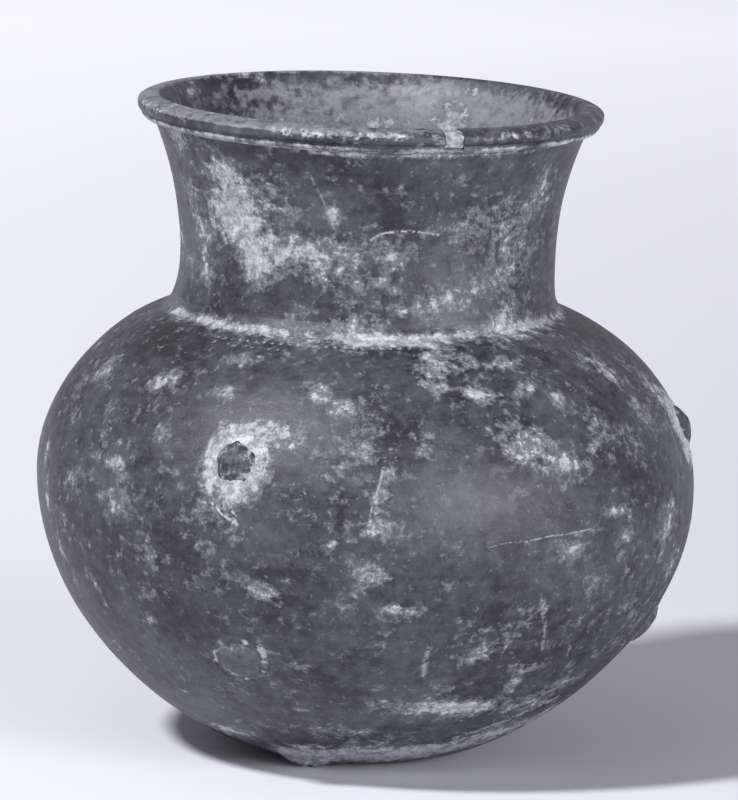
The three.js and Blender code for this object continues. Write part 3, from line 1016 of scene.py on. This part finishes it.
def stroke_mask(tree, place):
    """The strongest of all the strokes at each point, 0 to 1. A wander bends them like a real scratch."""
    label = unrolled(tree, place)
    wander = add_node(tree, "ShaderNodeTexNoise", {"Scale": per_mm(6), "Detail": 3.0}, {"Vector": place})
    sway = stroke_wander_mm * MM
    shake = add_node(tree, "ShaderNodeVectorMath",
                     {"operation": "MULTIPLY_ADD", 1: [sway] * 3, 2: [-sway / 2] * 3}, {0: wander.outputs[1]})
    shaken = add_node(tree, "ShaderNodeVectorMath", {"operation": "ADD"}, {0: label, 1: shake.outputs[0]})
    flat = add_node(tree, "ShaderNodeVectorMath", {"operation": "MULTIPLY", 1: (1, 1, 0)},
                    {0: shaken.outputs[0]})
    lines = []
    for mark in strokes_on_wall:
        start = on_label(mark["from"])
        run = on_label(mark["to"]) - start
        away = add_node(tree, "ShaderNodeVectorMath", {"operation": "SUBTRACT", 1: start},
                        {0: flat.outputs[0]})
        share = add_node(tree, "ShaderNodeVectorMath",
                         {"operation": "DOT_PRODUCT", 1: run / run.length_squared}, {0: away.outputs[0]})
        held = add_node(tree, "ShaderNodeClamp", {}, {0: share.outputs[1]})
        foot = add_node(tree, "ShaderNodeVectorMath", {"operation": "SCALE", 0: run},
                        {"Scale": held.outputs[0]})
        near = add_node(tree, "ShaderNodeVectorMath", {"operation": "DISTANCE"},
                        {0: away.outputs[0], 1: foot.outputs[0]})
        line = add_node(tree, "ShaderNodeMapRange",
                        {"From Max": mark["width"] * MM, "To Min": mark["strength"], "To Max": 0.0},
                        {"Value": near.outputs[1]})
        lines.append(line.outputs[0])
    return strongest(tree, lines)


# %% [markdown]
# Burnished reduced earthenware: grey-black clay, rubbed with a stone before firing, so it has a low satin
# gloss with level strokes in it. Burial has laid coats on its cloudy body colour: a haze of silt, which
# inside the mouth is also painted light: pale on the side that faces the key lamp, with the far side left
# dark as painted shade; a thin grey film with a ragged edge, a chalky crust, and white cakes of it. Silt
# lies in specks, scratches and chips on top. Each coat has its own mask and its own dark and pale tone.
# All are noise on real millimetres, so the pattern runs on unbroken from one piece to the next. The lime
# mortar was dirtied by the same ground, so it is the same recipe with a paler body.

# %% Weathered earthenware and weathered mortar
def pattern(tree, place, size_mm, detail, rough, level=1.0):
    """Noise with features of about size_mm, spread to fill 0 to 1. A low level draws it out round the jar."""
    drawn = add_node(tree, "ShaderNodeMapping", {"Scale": (level, level, 1.0)}, {"Vector": place})
    raw = add_node(tree, "ShaderNodeTexNoise",
                   {"Scale": per_mm(size_mm), "Detail": detail, "Roughness": rough},
                   {"Vector": drawn.outputs[0]})
    return add_node(tree, "ShaderNodeMapRange", {"clamp": False, "From Min": 0.3, "From Max": 0.7},
                    {"Value": raw.outputs[0]}).outputs[0]


def coat_masks(tree, place, grain, mottle, torn, spread):
    """Where each coat lies: how far its pattern has to rise for it to start and to be full, and how full."""
    wash = add_node(tree, "ShaderNodeAttribute", {"attribute_name": "wash"}).outputs["Fac"]
    filled = add_node(tree, "ShaderNodeAttribute", {"attribute_name": "filled"}).outputs["Fac"]
    # Inside the mouth the wash raises the haze: painted light on the side that faces the key lamp.
    haze_and_lit_side = weighed(tree, (mottle, 0.5), (torn, 0.5), (wash, 0.75))
    broken = weighed(tree, (grain, 1.0), (mottle, 0.7))
    masks = {}
    for coat, value, start, full, most in (
        ("haze_with_painted_light", haze_and_lit_side, 0.62, 1.12, 0.9), ("film", spread, 0.86, 1.16, 0.75),
        ("crust", spread, 1.14, 1.42, 0.92), ("cakes", spread, 1.5, 1.9, 0.85),
        ("specks", grain, 0.93, 1.05, 0.45), ("scratches", broken, 0.62, 0.85, 1.0),
        ("chips", grain, 0.25, 0.55, 1.0),
    ):
        masks[coat] = add_node(
            tree, "ShaderNodeMapRange",
            {"interpolation_type": "SMOOTHSTEP", "From Min": start, "From Max": full, "To Max": most},
            {"Value": value}).outputs[0]
    for coat, where in (("scratches", stroke_mask(tree, place)), ("chips", filled)):
        masks[coat] = add_node(tree, "ShaderNodeMath", {"operation": "MULTIPLY"},
                               {0: masks[coat], 1: where}).outputs[0]
    masks["silt"] = strongest(tree, [masks["specks"], masks["scratches"], masks["chips"]])
    return masks


def weathered(name, dark, pale):
    material, tree, place = new_material(name)
    clouds = pattern(tree, place, 30, 4.0, 0.55)
    region = pattern(tree, place, 17, 3.0, 0.6)
    mottle = pattern(tree, place, 4.5, 6.0, 0.68)
    flecks = pattern(tree, place, 2.9, 6.0, 0.62)
    drawn = pattern(tree, place, 3.0, 6.0, 0.66, level=0.4)
    strokes = pattern(tree, place, 2.2, 5.0, 0.65, level=0.12)
    grain = pattern(tree, place, 1.0, 4.0, 0.7)
    deposit = add_node(tree, "ShaderNodeAttribute", {"attribute_name": "deposit"}).outputs["Fac"]
    torn = weighed(tree, (flecks, 0.6), (drawn, 0.4))
    chalky = weighed(tree, (grain, 0.5), (flecks, 0.5))
    tone = weighed(tree, (clouds, 0.375), (mottle, 0.375), (strokes, 0.125), (grain, 0.125))
    spread = weighed(tree, (torn, 1.0), (region, 0.4), (grain, 0.14), (deposit, 0.65))
    masks = coat_masks(tree, place, grain, mottle, torn, spread)

    colour = toned(tree, tone, 0.32, 0.74, dark, pale)
    for coat, value, low, high, coat_dark, coat_pale in (
        # Haze colours: inside the mouth they are painted light on the side facing the key lamp; elsewhere
        # they are real haze.
        ("haze_with_painted_light", torn, 0.3, 0.7, "#686B71", "#8F9297"),
        ("film", grain, 0.2, 0.8, "#5B5F65", "#808488"),
        ("crust", chalky, 0.35, 0.95, "#84878C", "#CACDD2"),
        ("cakes", chalky, 0.2, 0.8, "#92959A", "#CCCFD3"),
        ("silt", grain, 0.2, 0.8, "#A2A5AB", "#C6C9CE"),
    ):
        top = toned(tree, value, low, high, coat_dark, coat_pale)
        colour = add_node(tree, "ShaderNodeMix", {"data_type": "RGBA"},
                          {0: masks[coat], 6: colour, 7: top}).outputs[2]

    cover = strongest(tree, [masks["film"], masks["crust"], masks["silt"]])
    sheen = add_node(tree, "ShaderNodeMapRange", {"To Min": 0.42, "To Max": 0.54}, {"Value": strokes})
    rough = add_node(tree, "ShaderNodeMix", {"data_type": "FLOAT", 3: 0.9}, {0: cover, 2: sheen.outputs[0]})
    fine = add_node(tree, "ShaderNodeBump", {"Strength": 0.4, "Distance": 0.0001}, {"Height": grain})
    brushed = add_node(tree, "ShaderNodeBump", {"Strength": 0.22, "Distance": 0.00015},
                       {"Height": strokes, "Normal": fine.outputs[0]})
    raised = add_node(tree, "ShaderNodeBump", {"Strength": 0.5, "Distance": 0.0003},
                      {"Height": masks["crust"], "Normal": brushed.outputs[0]})
    shader = add_node(tree, "ShaderNodeBsdfPrincipled", {"IOR": 1.5, "Specular IOR Level": 0.5}, {
        "Base Color": colour, "Roughness": rough.outputs[0], "Normal": raised.outputs[0]})
    finish(tree, shader)
    return material


# %% [markdown]
# Plaster is a dry white powder set hard: matt, with grains and pores, and greyed here by handling. Cast
# bronze long in the ground keeps a brown-black skin, part metal and part corrosion, with pale crust in
# its pits and round its edge. The lower heads have lost nearly all their metal look and are toned like the
# wall.

# %% Plaster and bronze
def gypsum_plaster():
    material, tree, place = new_material("gypsum plaster fill, greyed")
    grain = add_node(tree, "ShaderNodeTexNoise", {"Scale": per_mm(1.8), "Detail": 8.0, "Roughness": 0.75},
                     {"Vector": place}).outputs[0]
    bump = add_node(tree, "ShaderNodeBump", {"Strength": 0.9, "Distance": 0.0005}, {"Height": grain})
    shader = add_node(tree, "ShaderNodeBsdfPrincipled", {"IOR": 1.5, "Roughness": 0.95}, {
        "Base Color": toned(tree, grain, 0.40, 0.60, "#6E7379", "#B9BDC3"), "Normal": bump.outputs[0]})
    finish(tree, shader)
    return material


def corroded_bronze(name, dark, pale, metal, crust_from):
    material, tree, place = new_material(name)
    pits = add_node(tree, "ShaderNodeTexNoise", {"Scale": per_mm(2.6), "Detail": 8.0, "Roughness": 0.7},
                    {"Vector": place}).outputs[0]
    rim = add_node(tree, "ShaderNodeAttribute", {"attribute_name": "rim"}).outputs["Fac"]
    crust = add_node(tree, "ShaderNodeMapRange",
                     {"From Min": crust_from, "From Max": crust_from + 0.06, "To Max": 0.8},
                     {"Value": weighed(tree, (pits, 1.0), (rim, 0.25))})
    colour = add_node(tree, "ShaderNodeMix", {"data_type": "RGBA", 7: linear("#A4A9B1")},
                      {0: crust.outputs[0], 6: toned(tree, pits, 0.38, 0.66, dark, pale)})
    bare = add_node(tree, "ShaderNodeMapRange",
                    {"From Min": 0.42, "From Max": 0.60, "To Min": metal, "To Max": 0.0}, {"Value": pits})
    dull = add_node(tree, "ShaderNodeMapRange",
                    {"From Min": 0.4, "From Max": 0.62, "To Min": 0.42, "To Max": 0.85}, {"Value": pits})
    bump = add_node(tree, "ShaderNodeBump", {"Strength": 0.7, "Distance": 0.0004}, {"Height": pits})
    shader = add_node(tree, "ShaderNodeBsdfPrincipled", {}, {
        "Base Color": colour.outputs[2], "Metallic": bare.outputs[0], "Roughness": dull.outputs[0],
        "Normal": bump.outputs[0]})
    finish(tree, shader)
    return material


earthenware = weathered("burnished grey-black earthenware", "#15181D", "#484D54")
mortar = weathered("lime mortar, dirtied by the ground", "#23262B", "#585D63")
plaster = gypsum_plaster()
bronze = corroded_bronze("cast bronze, dark corroded skin", "#2B2F34", "#5E636A", 0.35, 0.73)
worn_bronze = corroded_bronze("cast bronze, worn flush and earthy", "#363A41", "#62676E", 0.15, 0.82)

for pieces, material in (
    ([base_pad, bowl_wall, shoulder_skin, neck_wall_piece, rolled_lip], earthenware),
    (beddings + [neck_filler], mortar), ([notch_plaster], plaster),
    (upper_heads, bronze), (lower_heads, worn_bronze),
):
    for piece in pieces:
        piece.data.materials.clear()
        piece.data.materials.append(material)
print("finishes:", len(bpy.data.materials))

# %% [markdown]
# The studio: a pale paper floor, a key lamp from the left and in front with a fairly hard edge, and one
# broad weak panel from the right that gives the belly its second sheen. The edge of the shadow tells
# where the key stood: about three metres off and half a right angle up. Under the left of the bowl, where
# the panel can't reach either, the two shadows overlap and go nearly black. All the light is a touch cool,
# as the whole picture is toned blue. The room's walls are pale to the eye and in gloss, and they light the
# jar only weakly.

# %% Floor and light
key_place = Vector((-1.515, -1.294, 2.243))
key_size = 0.34
key_power = 92
panel_place = Vector((1.5, -1.45, 0.52))
panel_size = 1.1
panel_power = 35
sky_strength = 0.25
wall_strength = 0.5
light_colour = "#F5F7FB"
paper_left = "#EDEFF5"
# The paper is painted darker towards the right: painted shade, for the way the key's light falls off across
# the floor.
paper_right_painted_shade = "#DADCE3"
floor_reach = 9.0


def seen_by_eye_or_gloss(tree):
    """1 for rays that come from the camera, a gloss or a glass, 0 for rays that carry light."""
    path = add_node(tree, "ShaderNodeLightPath")
    return strongest(tree, [path.outputs[f"Is {kind} Ray"] for kind in ("Camera", "Glossy", "Transmission")])


def add_floor():
    mesh = bpy.data.meshes.new("paper_floor")
    corners = [(-1, -1), (1, -1), (1, 1), (-1, 1)]
    mesh.from_pydata([(x * floor_reach, y * floor_reach, 0) for x, y in corners], [], [(0, 1, 2, 3)])
    floor = bpy.data.objects.new("paper_floor", mesh)
    bpy.context.scene.collection.objects.link(floor)
    material, tree, place = new_material("pale studio paper")
    parts = add_node(tree, "ShaderNodeSeparateXYZ", {}, {0: place})
    far = add_node(tree, "ShaderNodeMapRange",
                   {"From Min": 0.25, "From Max": 1.9, "To Min": 0.0, "To Max": 0.55},
                   {"Value": parts.outputs[1]})
    glow = add_node(tree, "ShaderNodeMath", {"operation": "MULTIPLY"},
                    {0: far.outputs[0], 1: seen_by_eye_or_gloss(tree)})
    shader = add_node(tree, "ShaderNodeBsdfPrincipled",
                      {"Roughness": 0.95, "Specular IOR Level": 0.1, "Emission Color": linear("#F4F7FF")},
                      # Paper colour from the left-hand tone to the darker right-hand one: painted shade of
                      # the key's falloff.
                      {"Base Color": toned(tree, parts.outputs[0], -0.2, 0.25, paper_left, paper_right_painted_shade),
                       "Emission Strength": glow.outputs[0]})
    finish(tree, shader)
    mesh.materials.append(material)
    return floor


def add_lamp(name, place, size, power):
    data = bpy.data.lights.new(name, "AREA")
    data.shape = "DISK"
    data.size = size
    data.energy = power
    data.color = linear(light_colour)[:3]
    light = bpy.data.objects.new(name, data)
    light.location = place
    aim = Vector((0, 0, 0.1)) - place
    light.rotation_euler = aim.to_track_quat("-Z", "Y").to_euler()
    bpy.context.scene.collection.objects.link(light)


def add_sky():
    world = bpy.data.worlds.new("studio")
    bpy.context.scene.world = world
    world.use_nodes = True
    tree = world.node_tree
    tree.nodes.clear()
    strength = add_node(tree, "ShaderNodeMapRange", {"To Min": sky_strength, "To Max": wall_strength},
                        {"Value": seen_by_eye_or_gloss(tree)})
    room = add_node(tree, "ShaderNodeBackground", {"Color": linear(light_colour)},
                    {"Strength": strength.outputs[0]})
    add_node(tree, "ShaderNodeOutputWorld", {}, {"Surface": room.outputs[0]})


floor = add_floor()
add_lamp("key_lamp", key_place, key_size, key_power)
add_lamp("side_panel", panel_place, panel_size, panel_power)
add_sky()
bpy.context.scene.view_settings.view_transform = "Standard"
